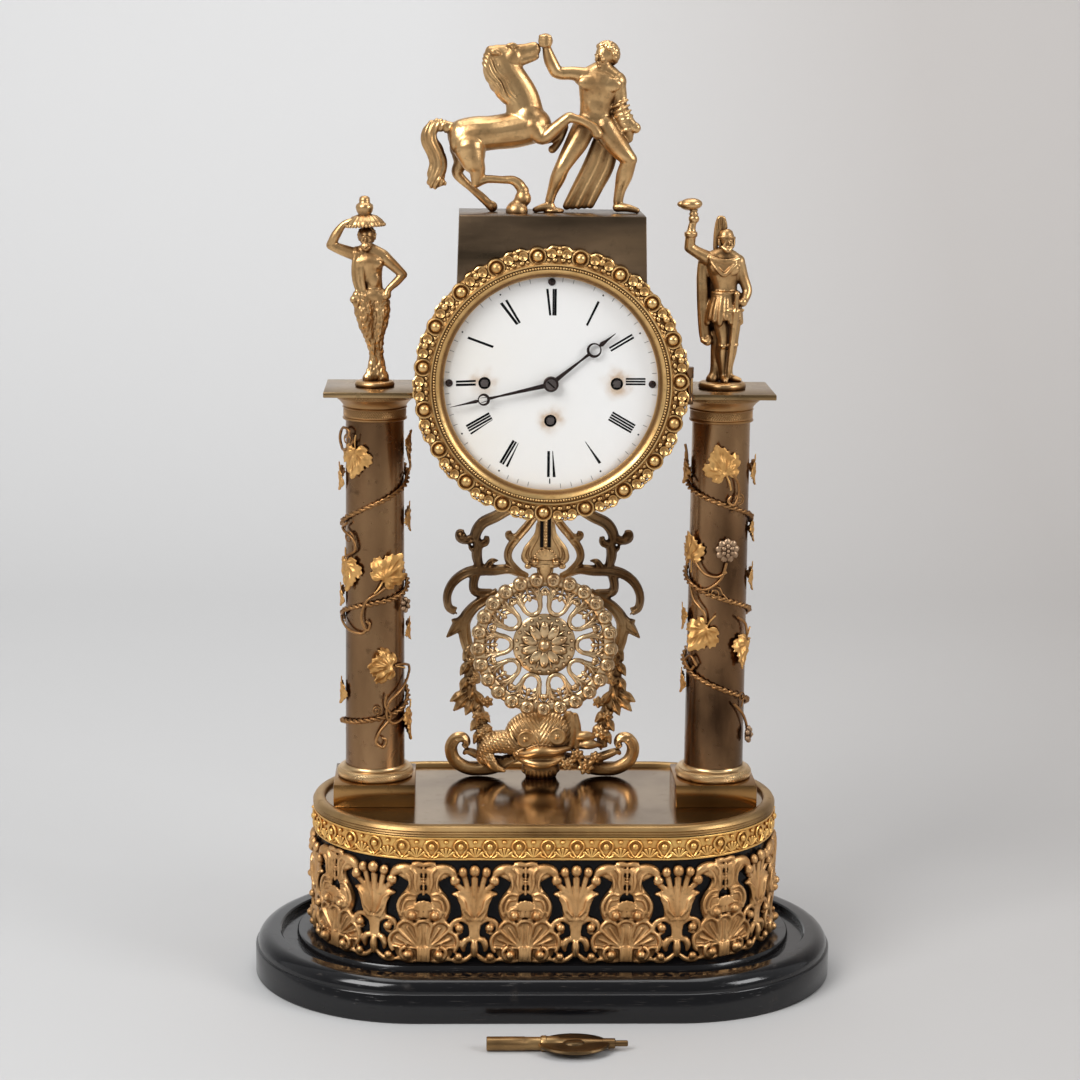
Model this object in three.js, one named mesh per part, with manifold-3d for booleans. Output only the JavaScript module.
// A column clock for a mantel: a round drum case on an openwork bracket between two vine-clad columns,
// on a brass-mounted black base, with cast figures on top, and its winding key lying in front.
// Millimetres, +Z up, +Y away from the viewer. The origin is the centre of the underside.
import * as THREE from "three";
import { mergeVertices } from "three/addons/utils/BufferGeometryUtils.js";
import Module from "manifold-3d";

const wasm = await Module();
wasm.setup();

// Clearances
const SEAT_GAP = 0.3; // between a piece and the curved or turned seat that carries it
const BORE_GAP = 0.35; // radial room of a pin, rod or arbor in its hole

// Base: every outline is two half circles joined by straight sides
const BASE_STRAIGHT = 70; // half of the plinth's straight side
const PLINTH_RADIUS = 92.5;
const PLINTH_WALL_HEIGHT = 16.2;
const PLINTH_HEIGHT = 24;
const OVOLO_WIDTH = 9.5;
const DOME_GROOVE_LEDGE = 5;
const DOME_GROOVE_WIDTH = 9.2;
const DOME_GROOVE_DEPTH = 4;
const DRUM_STRAIGHT = 63; // half of the upper drum's straight side
const DRUM_RADIUS = 65;
const DRUM_WALL = 9;
const DRUM_HEIGHT = 72;
const DECK_THICKNESS = 2;
const PLATE_THICKNESS = 1.8;
const RIM_WIDTH = 6.8;
const RIM_HEIGHT = 6.4;
const RIM_OVERHANG = 1.8;
const FRIEZE_THICKNESS = 1.7;
const FRIEZE_HEIGHT = 57;
const FRIEZE_LIFT = 0.8;
const FRIEZE_MOTIFS = 12;
const BAND_THICKNESS = 1;
const BAND_HEIGHT = 12.6;
const STADIUM_ARC_STEPS = 12;

// Columns
const COLUMN_OFFSET = 95; // from the middle of the clock to each column's axis
const BLOCK_SIDE = 45; // square block under each column
const BLOCK_HEIGHT = 12.8;
const FOOT_RING_HEIGHT = 7.4;
const FOOT_RING_RADIUS = 21.4;
const SHAFT_FOOT_RADIUS = 16.5;
const SHAFT_HEAD_RADIUS = 15.9;
const SHAFT_WALL = 2;
const SHAFT_LENGTH = 194;
const CAPITAL_HEIGHT = 15;
const CAPITAL_RADIUS = 22;
const ABACUS_SIDE = 54;
const ABACUS_THICKNESS = 3;
const TIE_ROD_RADIUS = 2.5;
const TIE_ROD_HOLD = 2.2; // how far the rod screws into the figure's foot
const NUT_WIDTH = 9;
const NUT_HEIGHT = 5;
const ROD_TAIL = 3; // rod left below its nut

// Vines: a wire wound round each column, with leaves on short stalks
const VINE_WIRE_RADIUS = 1.1;
const VINE_TURNS = 3;
const VINE_TOP_DROP = 7; // below the capital
const VINE_FOOT_RISE = 18; // above the foot ring
const VINE_STEPS_PER_TURN = 14;
const VINE_LEAVES = 7;
const LEAF_LENGTH = 13;
const LEAF_THICKNESS = 0.9;

// Case, dial and bezel
const BRACKET_HEIGHT = 176;
const CASE_RADIUS = 62;
const CASE_WALL = 1.5;
const CASE_FRONT_Y = -32.4;
const CASE_DEPTH = 76.4;
const DIAL_RECESS = 3.4;
const DIAL_THICKNESS = 1.8;
const DIAL_GAP = 0.9; // dial edge to case bore
const FLANGE_DEPTH = 7.2;
const FLANGE_RING = 9;
const WINDING_SIDE_X = 35.5; // side winding squares, left and right of the centre
const WINDING_LOW_Z = -20.2; // lower winding square, below the centre
const WINDING_HOLE_RADIUS = 3.4;
const DIAL_SCREW_INSET = 6; // screw circle inside the case bore
const DIAL_SCREW_RADIUS = 1.2;
const DIAL_SCREW_HEAD_RADIUS = 2;
const BEZEL_OVERHANG = 9.5; // bezel edge beyond the case
const BEZEL_SIGHT_INSET = 4.7; // sight edge inside the case
const BEZEL_BEAD_INSET = 0.2;
const BEZEL_DEPTH = 8;
const BEZEL_GAP = 1; // bezel back to case front
const BEZEL_BOSSES = 19;
const BOSS_RADIUS = 5;
const BOSS_RELIEF = 3;
const GLASS_THICKNESS = 1.3;
const GLASS_SEAT = 1.9; // glass beyond the sight edge
const HINGE_PIN_RADIUS = 1.2;
const KNUCKLE_RADIUS = 2.4;
const KNUCKLE_LENGTH = 8;
const BACK_COVER_THICKNESS = 1.8;
const BACK_KNOB_RADIUS = 4;
const SADDLE_WIDTH = 99;
const SADDLE_DEPTH = 55;
const SADDLE_RISE = 27.6; // crown of the saddle block above the case
const SADDLE_WALL = 2;

// Movement
const FRAME_PLATE = 2;
const PILLAR_LENGTH = 36;
const PILLAR_RADIUS = 2.6;
const PILLAR_INSET = 6; // pillar circle inside the plate's edge
const BACK_PLATE_INSET = 8.5; // plate edge inside the case bore
const ARBOR_RADIUS = 1.5;
const BARREL_RADIUS = 14;
const BARREL_LENGTH = 24;
const WINDING_ARBOR_RADIUS = 2.2;
const WINDING_SQUARE = 3.4;
const CENTRE_WHEEL_RADIUS = 12;
const THIRD_PINION_RADIUS = 2.5;
const THIRD_WHEEL_RADIUS = 9;
const ESCAPE_PINION_RADIUS = 2.3;
const ESCAPE_WHEEL_RADIUS = 8;
const ANCHOR_RISE = 10.4; // anchor arbor above the escape arbor
const WHEEL_THICKNESS = 1.3;
const CANNON_RADIUS = 3.6;
const MINUTE_WHEEL_RADIUS = 10.8;
const MINUTE_PINION_RADIUS = 2.88;
const HOUR_WHEEL_RADIUS = 11.52;
const CANNON_PIPE_RADIUS = 2.4;
const HOUR_PIPE_RADIUS = 3.6;
const HAND_THICKNESS = 1;
const HOUR_HAND_LENGTH = 44;
const MINUTE_HAND_LENGTH = 55;
const HOUR_ANGLE = THREE.MathUtils.degToRad(51.4); // the hands stand at 1.43 past one
const MINUTE_ANGLE = THREE.MathUtils.degToRad(256.8);
const BELL_RADIUS = 17;
const BELL_DEPTH = 10;
const BELL_WALL = 1.2;
const BELL_STANDOFF = 8; // back plate to the bell's rim
const BELL_OFFSET_X = 31;
const BELL_OFFSET_Z = 14;

// Pendulum and bracket
const PENDULUM_LENGTH = 193; // suspension to the middle of the bob
const PENDULUM_Y = 26;
const ROD_THICKNESS = 3;
const BOB_RADIUS = 42.5;
const BOB_RING_WIDTH = 9;
const BOB_THICKNESS = 4;
const BOB_HUB_RADIUS = 18;
const BOB_SPOKES = 10;
const LYRE_HEIGHT = 34;
const LYRE_WIDTH = 27;
const BRACKET_Y = 41;
const BRACKET_THICKNESS = 8;

// Figures, by their overall heights
const RIDERLESS_HORSE_HEIGHT = 89;
const TAMER_HEIGHT = 94.5;
const TAMER_SETBACK = 3.4; // the tamer stands this far behind the horse's near side
const FAUN_HEIGHT = 103;
const SOLDIER_HEIGHT = 102;
const FAUN_FOOT_RADIUS = 10.8;
const SOLDIER_FOOT_RADIUS = 13;
const FIGURE_FOOT_HEIGHT = 3;

// Winding key
const KEY_LENGTH = 74;
const KEY_TUBE_RADIUS = 3.4;
const KEY_TUBE_LENGTH = 25;
const KEY_SOCKET_DEPTH = 14;
const KEY_BOW_LENGTH = 32;
const KEY_BOW_WIDTH = 27;
const KEY_BOW_THICKNESS = 2.2;
const KEY_LEAN = THREE.MathUtils.degToRad(7); // the bow tips a little on its edge
const KEY_Y = -130;
const KEY_X = 3.5;

// Levels that follow from the sizes above
const DECK_Z = PLINTH_HEIGHT + DRUM_HEIGHT;
const DECK_TOP_Z = DECK_Z + DECK_THICKNESS;
const FLOOR_Z = DECK_TOP_Z + PLATE_THICKNESS; // upper face of the brass plate
const COLUMN_BASE_Z = FLOOR_Z + BLOCK_HEIGHT;
const SHAFT_Z = COLUMN_BASE_Z + FOOT_RING_HEIGHT;
const CAPITAL_Z = SHAFT_Z + SHAFT_LENGTH;
const ABACUS_Z = CAPITAL_Z + CAPITAL_HEIGHT;
const COLUMN_TOP_Z = ABACUS_Z + ABACUS_THICKNESS;
const CASE_Z = FLOOR_Z + BRACKET_HEIGHT + CASE_RADIUS; // height of the dial's centre
const SADDLE_TOP_Z = CASE_Z + CASE_RADIUS + SADDLE_RISE;
const CASE_BACK_Y = CASE_FRONT_Y + CASE_DEPTH;
const DIAL_FRONT_Y = CASE_FRONT_Y + DIAL_RECESS;
const DIAL_BACK_Y = DIAL_FRONT_Y + DIAL_THICKNESS;
const FRONT_PLATE_Y = DIAL_BACK_Y + FLANGE_DEPTH;
const PILLAR_Y = FRONT_PLATE_Y + FRAME_PLATE;
const BACK_PLATE_Y = PILLAR_Y + PILLAR_LENGTH;
const BACK_PLATE_END_Y = BACK_PLATE_Y + FRAME_PLATE;
const BELL_CROWN_Y = BACK_PLATE_END_Y + BELL_STANDOFF + BELL_DEPTH;
const BEZEL_BACK_Y = CASE_FRONT_Y - BEZEL_GAP;
const BEZEL_FRONT_Y = BEZEL_BACK_Y - BEZEL_DEPTH;
const CASE_BORE = CASE_RADIUS - CASE_WALL;
const DIAL_RADIUS = CASE_BORE - DIAL_GAP;
const DIAL_SCREW_CIRCLE = CASE_BORE - DIAL_SCREW_INSET;
const BEZEL_RADIUS = CASE_RADIUS + BEZEL_OVERHANG;
const BEZEL_SIGHT_RADIUS = CASE_RADIUS - BEZEL_SIGHT_INSET;
const BEZEL_BEAD_RADIUS = CASE_RADIUS - BEZEL_BEAD_INSET;
const GLASS_RADIUS = BEZEL_SIGHT_RADIUS + GLASS_SEAT;
const BACK_PLATE_RADIUS = CASE_BORE - BACK_PLATE_INSET;
const PILLAR_CIRCLE = BACK_PLATE_RADIUS - PILLAR_INSET;
const CENTRE_PINION_RADIUS = -WINDING_LOW_Z - BARREL_RADIUS - SEAT_GAP; // meets the going barrel's rim
const THIRD_Z = CENTRE_WHEEL_RADIUS + THIRD_PINION_RADIUS + SEAT_GAP;
const ESCAPE_Z = THIRD_Z + THIRD_WHEEL_RADIUS + ESCAPE_PINION_RADIUS + SEAT_GAP;
const ANCHOR_Z = ESCAPE_Z + ANCHOR_RISE;
const PIVOT_Z = CASE_Z + ANCHOR_Z;
const BOB_Z = PIVOT_Z - PENDULUM_LENGTH;
const MOTION_DISTANCE = CANNON_RADIUS + MINUTE_WHEEL_RADIUS + SEAT_GAP;
const HINGE_X = BEZEL_RADIUS + KNUCKLE_RADIUS;
const HINGE_Y = BEZEL_BACK_Y;
const BACK_HINGE_X = CASE_RADIUS + KNUCKLE_RADIUS;
const BACK_HINGE_Y = CASE_BACK_Y + KNUCKLE_RADIUS / 2;
const SADDLE_FRONT_Y = BEZEL_BACK_Y + SEAT_GAP;
const SADDLE_MIDDLE_Y = SADDLE_FRONT_Y + SADDLE_DEPTH / 2;
const MINUTE_STUD = MOTION_DISTANCE / Math.SQRT2; // across and up from the centre
const rodBore = TIE_ROD_RADIUS + BORE_GAP;

// Finishes
const finish = (color, roughness, metalness) =>
  new THREE.MeshStandardMaterial({ color, roughness, metalness });
const GILT = finish(0xb98a42, 0.35, 1);
const DARK_BRASS = finish(0x6b5a3a, 0.35, 1);
const BRASS = finish(0x9c7f4a, 0.3, 1);
const EBONISED = finish(0x141316, 0.3, 0);
const ENAMEL = finish(0xf4f1e8, 0.25, 0);
const DARK_STEEL = finish(0x3a3133, 0.4, 1);
const STEEL = finish(0x8a8a8c, 0.35, 1);
const GLASS = new THREE.MeshStandardMaterial({
  color: 0xe8f2f0, roughness: 0.05, transparent: true, opacity: 0.2,
});

// Geometry helpers

// The geometry with shared vertices merged, collapsed triangles dropped and its faces pointing out.
function tidy(geometry) {
  const loose = geometry.index ? geometry.toNonIndexed() : geometry;
  const bare = new THREE.BufferGeometry().setAttribute("position", loose.getAttribute("position").clone());
  const merged = mergeVertices(bare, 1e-4);
  const from = merged.index.array;
  const corner = (i) => new THREE.Vector3().fromBufferAttribute(merged.attributes.position, i);
  const kept = [];
  let volume = 0;
  for (let i = 0; i < from.length; i += 3) {
    const [a, b, c] = [from[i], from[i + 1], from[i + 2]];
    if (a === b || b === c || a === c) continue;
    kept.push(a, b, c);
    volume += corner(a).dot(corner(b).cross(corner(c)));
  }
  if (volume < 0) kept.reverse();
  merged.setIndex(kept);
  return merged;
}

function solid(geometry) {
  const closed = tidy(geometry);
  const vertProperties = new Float32Array(closed.attributes.position.array);
  const triVerts = new Uint32Array(closed.index.array);
  return new wasm.Manifold(new wasm.Mesh({ numProp: 3, vertProperties, triVerts }));
}

function geometryOf(manifold) {
  const mesh = manifold.getMesh();
  const positions = new Float32Array(mesh.numVert * 3);
  for (let i = 0; i < mesh.numVert; i += 1) {
    positions.set(mesh.vertProperties.subarray(i * mesh.numProp, i * mesh.numProp + 3), i * 3);
  }
  const geometry = new THREE.BufferGeometry();
  geometry.setAttribute("position", new THREE.BufferAttribute(positions, 3));
  geometry.setIndex(new THREE.BufferAttribute(new Uint32Array(mesh.triVerts), 1));
  return geometry;
}

const fuse = (...geometries) => geometryOf(geometries.map(solid).reduce((sum, next) => sum.add(next)));
const cut = (geometry, ...tools) =>
  geometryOf(tools.map(solid).reduce((rest, tool) => rest.subtract(tool), solid(geometry)));

// A turned piece about the Y axis, from [radius, y] points, and the same about the Z axis from [radius, z].
function turnedY(profile, steps = 24) {
  return new THREE.LatheGeometry(profile.map(([r, y]) => new THREE.Vector2(r, y)), steps);
}
const turnedZ = (profile, steps = 20) => turnedY(profile, steps).rotateX(Math.PI / 2);

const discY = (radius, y0, y1, steps = 24) => turnedY(
  [[0, y0], [radius, y0], [radius, y1], [0, y1]], steps,
);
const discZ = (radius, z0, z1, steps = 20) => turnedZ(
  [[0, z0], [radius, z0], [radius, z1], [0, z1]], steps,
);
const ringY = (inner, outer, y0, y1, steps = 24) =>
  turnedY([[inner, y0], [outer, y0], [outer, y1], [inner, y1], [inner, y0]], steps);

function box(x0, x1, y0, y1, z0, z1) {
  const geometry = new THREE.BoxGeometry(x1 - x0, y1 - y0, z1 - z0);
  return geometry.translate((x0 + x1) / 2, (y0 + y1) / 2, (z0 + z1) / 2);
}

// A flat shape in the XZ plane, given as [x, z] points, with thickness along Y.
function slabY(points, y0, y1) {
  const shape = new THREE.Shape(points.map(([x, z]) => new THREE.Vector2(x, z)));
  const geometry = new THREE.ExtrudeGeometry(shape, { depth: y1 - y0, bevelEnabled: false });
  return geometry.rotateX(Math.PI / 2).translate(0, y1, 0);
}

// A closed skin over rings of points; a loop joins the last ring to the first instead of closing the ends.
function skin(rings, loop = false, poles = null) {
  const count = rings[0].length;
  const positions = rings.flat().flatMap((p) => [p.x, p.y, p.z]);
  const triangles = [];
  const last = loop ? rings.length : rings.length - 1;
  for (let i = 0; i < last; i += 1) {
    const next = (i + 1) % rings.length;
    for (let j = 0; j < count; j += 1) {
      const k = (j + 1) % count;
      triangles.push(i * count + j, i * count + k, next * count + k);
      triangles.push(i * count + j, next * count + k, next * count + j);
    }
  }
  if (!loop) {
    const ends = poles ?? [rings[0], rings.at(-1)].map((ring) => middle(ring));
    const first = rings.length * count;
    ends.forEach((p) => positions.push(p.x, p.y, p.z));
    for (let j = 0; j < count; j += 1) {
      const k = (j + 1) % count;
      triangles.push(first, k, j);
      triangles.push(first + 1, (rings.length - 1) * count + j, (rings.length - 1) * count + k);
    }
  }
  const geometry = new THREE.BufferGeometry();
  geometry.setAttribute("position", new THREE.Float32BufferAttribute(positions, 3));
  geometry.setIndex(triangles);
  return tidy(geometry);
}

function middle(points) {
  return points.reduce((sum, p) => sum.add(p), new THREE.Vector3()).divideScalar(points.length);
}

// One stadium outline at a height: two half circles of the given radius and straight sides between.
function stadium(straight, radius, z) {
  const points = [];
  for (const side of [1, -1]) {
    for (let i = 0; i <= STADIUM_ARC_STEPS; i += 1) {
      const angle = (-side * Math.PI) / 2 + (Math.PI * i) / STADIUM_ARC_STEPS;
      points.push(new THREE.Vector3(
        side * straight + radius * Math.cos(angle), radius * Math.sin(angle), z,
      ));
    }
  }
  return points;
}

const stadiumBlock = (straight, profile) => skin(profile.map(([r, z]) => stadium(straight, r, z)));
const stadiumRing = (straight, profile) => skin(profile.map(([r, z]) => stadium(straight, r, z)), true);

// A rounded limb through stations [x, y, z, radius]; depth stretches its section along Y.
function limb(stations, sides = 5, depth = 1) {
  const centres = stations.map(([x, y, z]) => new THREE.Vector3(x, y, z));
  const rings = [];
  const tangents = centres.map((c, i) => {
    const before = centres[Math.max(i - 1, 0)];
    const after = centres[Math.min(i + 1, centres.length - 1)];
    return after.clone().sub(before).normalize();
  });
  centres.forEach((centre, i) => {
    const along = tangents[i];
    const back = Math.abs(along.y) > 0.85 ? new THREE.Vector3(1, 0, 0) : new THREE.Vector3(0, 1, 0);
    const flat = along.clone().cross(back).normalize();
    const deep = flat.clone().cross(along).normalize();
    const radius = stations[i][3];
    const ring = [];
    for (let j = 0; j < sides; j += 1) {
      const angle = (2 * Math.PI * j) / sides;
      const point = centre.clone().addScaledVector(flat, radius * Math.cos(angle));
      ring.push(point.addScaledVector(deep, radius * depth * Math.sin(angle)));
    }
    rings.push(ring);
  });
  const reach = 0.55;
  const poles = [
    centres[0].clone().addScaledVector(tangents[0], -reach * stations[0][3]),
    centres.at(-1).clone().addScaledVector(tangents.at(-1), reach * stations.at(-1)[3]),
  ];
  return skin(rings, false, poles);
}

function ball(x, y, z, rx, ry = rx, rz = rx, across = 8, up = 6) {
  return new THREE.SphereGeometry(1, across, up).rotateX(Math.PI / 2).scale(rx, ry, rz).translate(x, y, z);
}

const mirrored = (geometry) => geometry.clone().scale(-1, 1, 1);

const clock = new THREE.Group();
clock.name = "column_clock";

function piece(name, material, geometry, parent = clock) {
  const mesh = new THREE.Mesh(tidy(geometry), material);
  mesh.name = name;
  parent.add(mesh);
  return mesh;
}

// Base

function addBase() {
  const ledge = PLINTH_RADIUS - OVOLO_WIDTH;
  const grooveOut = ledge - DOME_GROOVE_LEDGE;
  const grooveIn = grooveOut - DOME_GROOVE_WIDTH;
  const ovolo = PLINTH_HEIGHT - PLINTH_WALL_HEIGHT;
  piece("base_plinth", EBONISED, stadiumBlock(BASE_STRAIGHT, [
    [PLINTH_RADIUS, 0],
    [PLINTH_RADIUS, PLINTH_WALL_HEIGHT],
    [PLINTH_RADIUS - 0.3 * OVOLO_WIDTH, PLINTH_WALL_HEIGHT + 0.6 * ovolo],
    [ledge, PLINTH_HEIGHT],
    [grooveOut, PLINTH_HEIGHT],
    [grooveOut, PLINTH_HEIGHT - DOME_GROOVE_DEPTH],
    [grooveIn, PLINTH_HEIGHT - DOME_GROOVE_DEPTH],
    [grooveIn, PLINTH_HEIGHT],
  ]));
  const wall = stadiumRing(DRUM_STRAIGHT, [
    [DRUM_RADIUS - DRUM_WALL, PLINTH_HEIGHT],
    [DRUM_RADIUS, PLINTH_HEIGHT],
    [DRUM_RADIUS, DECK_Z],
    [DRUM_RADIUS - DRUM_WALL, DECK_Z],
  ]);
  const rimOut = DRUM_RADIUS + RIM_OVERHANG;
  const rimIn = rimOut - RIM_WIDTH;
  const shelf = rimIn - SEAT_GAP;
  const rods = [-1, 1].map((side) =>
    discZ(rodBore, DECK_Z - DECK_THICKNESS - 1, FLOOR_Z + 1, 12).translate(side * COLUMN_OFFSET, 0, 0));
  const deck = stadiumBlock(DRUM_STRAIGHT, [[shelf, DECK_Z - DECK_THICKNESS], [shelf, DECK_TOP_Z]]);
  piece("base_drum", EBONISED, cut(fuse(wall, deck), ...rods));
  piece(
    "top_plate", BRASS, cut(stadiumBlock(DRUM_STRAIGHT, [[shelf, DECK_TOP_Z], [shelf, FLOOR_Z]]), ...rods),
  );
  piece("top_rim", BRASS, stadiumRing(DRUM_STRAIGHT, [
    [rimIn, DECK_Z],
    [rimOut - RIM_OVERHANG / 2, DECK_Z],
    [rimOut, DECK_Z + RIM_HEIGHT / 2],
    [rimOut - RIM_OVERHANG / 3, DECK_Z + RIM_HEIGHT],
    [rimIn, DECK_Z + RIM_HEIGHT],
  ]));
  const bandIn = DRUM_RADIUS + SEAT_GAP;
  piece("stamped_band", GILT, stadiumRing(DRUM_STRAIGHT, [
    [bandIn, DECK_Z - BAND_HEIGHT],
    [bandIn + BAND_THICKNESS, DECK_Z - BAND_HEIGHT],
    [bandIn + BAND_THICKNESS, DECK_Z],
    [bandIn, DECK_Z],
  ]));
  addFrieze(bandIn);
}

// A point of the drum's outline after a walk from the middle of the front, and its outward angle.
function drumWalk(length, radius) {
  const arc = Math.PI * radius;
  const total = 4 * DRUM_STRAIGHT + 2 * arc;
  const s = ((length % total) + total) % total;
  if (s <= DRUM_STRAIGHT) return { x: s, y: -radius, angle: -Math.PI / 2 };
  if (s <= DRUM_STRAIGHT + arc) {
    const angle = -Math.PI / 2 + (s - DRUM_STRAIGHT) / radius;
    return { x: DRUM_STRAIGHT + radius * Math.cos(angle), y: radius * Math.sin(angle), angle };
  }
  if (s <= 3 * DRUM_STRAIGHT + arc) return {
    x: 2 * DRUM_STRAIGHT + arc - s, y: radius, angle: Math.PI / 2,
  };
  if (s <= 3 * DRUM_STRAIGHT + 2 * arc) {
    const angle = Math.PI / 2 + (s - 3 * DRUM_STRAIGHT - arc) / radius;
    return { x: -DRUM_STRAIGHT + radius * Math.cos(angle), y: radius * Math.sin(angle), angle };
  }
  return { x: s - total, y: -radius, angle: -Math.PI / 2 };
}

// The pierced frieze: lyres over shells with flowers between, and a window each side of every lyre.
function addFrieze(inner) {
  const z0 = PLINTH_HEIGHT + FRIEZE_LIFT;
  const z1 = z0 + FRIEZE_HEIGHT;
  const outer = inner + FRIEZE_THICKNESS;
  const band = stadiumRing(DRUM_STRAIGHT, [[inner, z0], [outer, z0], [outer, z1], [inner, z1]]);
  const pitch = (4 * DRUM_STRAIGHT + 2 * Math.PI * inner) / FRIEZE_MOTIFS;
  const share = (across, up) => [across * pitch, up * FRIEZE_HEIGHT];
  const windows = [
    [share(0.14, 0.74), share(0.22, 0.46), share(0.36, 0.42), share(0.33, 0.62), share(0.24, 0.86)],
    [share(0.31, 0.30), share(0.36, 0.13), share(0.44, 0.18), share(0.43, 0.36)],
  ];
  const tools = [];
  for (let i = 0; i < FRIEZE_MOTIFS; i += 1) {
    for (const side of [-1, 1]) {
      for (const window of windows) {
        const centreAcross = window.reduce((sum, [a]) => sum + a, 0) / window.length;
        const place = drumWalk(i * pitch + side * centreAcross, inner);
        const outline = window.map(([a, up]) => [side * (a - centreAcross), up]);
        const tool = slabY(outline, -3 * FRIEZE_THICKNESS, 3 * FRIEZE_THICKNESS);
        tools.push(tool.rotateZ(place.angle + Math.PI / 2).translate(place.x, place.y, z0));
      }
    }
  }
  piece("pierced_frieze", GILT, cut(band, ...tools));
}

// Columns

function addColumn(side, label) {
  const column = new THREE.Group();
  column.position.x = side * COLUMN_OFFSET;
  clock.add(column);
  const half = BLOCK_SIDE / 2;
  const bore = discZ(rodBore, FLOOR_Z - 1, COLUMN_TOP_Z + 1, 12);
  piece(
    `column_block_${label}`, DARK_BRASS, cut(box(-half, half, -half, half, FLOOR_Z, COLUMN_BASE_Z), bore),
    column,
  );
  piece(`column_foot_${label}`, BRASS, turnedZ([
    [rodBore, COLUMN_BASE_Z],
    [FOOT_RING_RADIUS - 0.6, COLUMN_BASE_Z],
    [FOOT_RING_RADIUS, COLUMN_BASE_Z + 0.3 * FOOT_RING_HEIGHT],
    [FOOT_RING_RADIUS - 2.2, COLUMN_BASE_Z + 0.8 * FOOT_RING_HEIGHT],
    [SHAFT_FOOT_RADIUS + 0.4, SHAFT_Z],
    [rodBore, SHAFT_Z],
    [rodBore, COLUMN_BASE_Z],
  ]), column);
  piece(`column_shaft_${label}`, DARK_BRASS, turnedZ([
    [SHAFT_FOOT_RADIUS - SHAFT_WALL, SHAFT_Z],
    [SHAFT_FOOT_RADIUS, SHAFT_Z],
    [SHAFT_HEAD_RADIUS, CAPITAL_Z],
    [SHAFT_HEAD_RADIUS - SHAFT_WALL, CAPITAL_Z],
    [SHAFT_FOOT_RADIUS - SHAFT_WALL, SHAFT_Z],
  ]), column);
  piece(`column_capital_${label}`, BRASS, turnedZ([
    [rodBore, CAPITAL_Z],
    [SHAFT_HEAD_RADIUS + 1, CAPITAL_Z],
    [SHAFT_HEAD_RADIUS + 1.6, CAPITAL_Z + 0.14 * CAPITAL_HEIGHT],
    [SHAFT_HEAD_RADIUS + 0.8, CAPITAL_Z + 0.3 * CAPITAL_HEIGHT],
    [SHAFT_HEAD_RADIUS + 2.2, CAPITAL_Z + 0.55 * CAPITAL_HEIGHT],
    [CAPITAL_RADIUS, ABACUS_Z],
    [rodBore, ABACUS_Z],
    [rodBore, CAPITAL_Z],
  ]), column);
  const wing = ABACUS_SIDE / 2;
  piece(
    `column_abacus_${label}`, BRASS, cut(box(-wing, wing, -wing, wing, ABACUS_Z, COLUMN_TOP_Z), bore),
    column,
  );
  const nutTop = DECK_Z - DECK_THICKNESS - SEAT_GAP;
  const nutFoot = nutTop - NUT_HEIGHT;
  const rod = discZ(TIE_ROD_RADIUS, nutFoot - ROD_TAIL, COLUMN_TOP_Z + TIE_ROD_HOLD, 10);
  const nut = discZ(NUT_WIDTH / Math.sqrt(3), nutFoot, nutTop, 6);
  piece(`tie_rod_${label}`, STEEL, fuse(rod, nut), column);
  addVine(column, side, label);
}

// A five-lobed leaf in the XZ plane with its stalk end at the origin, thin along Y.
function leafBlade(length) {
  const lobes = [[0, 0], [0.4, 0], [0.52, 0.3], [0.4, 0.72], [0, 1]];
  const right = lobes.map(([x, z]) => [x * length, z * length]);
  const left = lobes.slice(1, -1).reverse().map(([x, z]) => [-x * length, z * length]);
  return slabY([...right, ...left], -LEAF_THICKNESS / 2, LEAF_THICKNESS / 2);
}

function addVine(column, side, label) {
  const bottom = SHAFT_Z + VINE_FOOT_RISE;
  const top = CAPITAL_Z - VINE_TOP_DROP;
  const reach = SHAFT_FOOT_RADIUS + SEAT_GAP + VINE_WIRE_RADIUS;
  const steps = VINE_TURNS * VINE_STEPS_PER_TURN;
  const at = (share, radius) => {
    const angle = -Math.PI / 2 - side * (0.35 + VINE_TURNS * 2 * Math.PI * share);
    return new THREE.Vector3(
      radius * Math.cos(angle), radius * Math.sin(angle), top + (bottom - top) * share,
    );
  };
  const wire = [];
  for (let i = 0; i <= steps; i += 1) {
    const p = at(i / steps, reach);
    wire.push([p.x, p.y, p.z, VINE_WIRE_RADIUS]);
  }
  const leaves = [];
  for (let i = 0; i < VINE_LEAVES; i += 1) {
    const share = (i + 0.5) / VINE_LEAVES;
    const foot = at(share, reach);
    const turn = Math.atan2(foot.y, foot.x) + Math.PI / 2;
    const droop = i % 2 === 0 ? Math.PI : 0.3;
    const blade = leafBlade(LEAF_LENGTH)
      .translate(0, 0, -0.3 * VINE_WIRE_RADIUS)
      .rotateY(droop)
      .rotateZ(turn);
    const outward = foot.clone().setZ(0).normalize().multiplyScalar(reach + VINE_WIRE_RADIUS / 3);
    leaves.push(blade.translate(outward.x, outward.y, foot.z));
  }
  piece(`vine_${label}`, GILT, fuse(limb(wire, 4), ...leaves), column);
}

// Figures: each is cast with its own foot, and its stations are in millimetres from the foot's underside

function addFigure(name, parts, height, drawnHeight, x, y, z, bore = 0) {
  const holder = new THREE.Group();
  holder.position.set(x, y, z);
  clock.add(holder);
  const scale = height / drawnHeight;
  const below = box(-200, 200, -200, 200, -50, 0);
  let body = cut(fuse(...parts).scale(scale, scale, scale), below);
  if (bore > 0) body = cut(body, discZ(bore, -1, TIE_ROD_HOLD + SEAT_GAP, 10));
  piece(name, GILT, body, holder);
}

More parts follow.
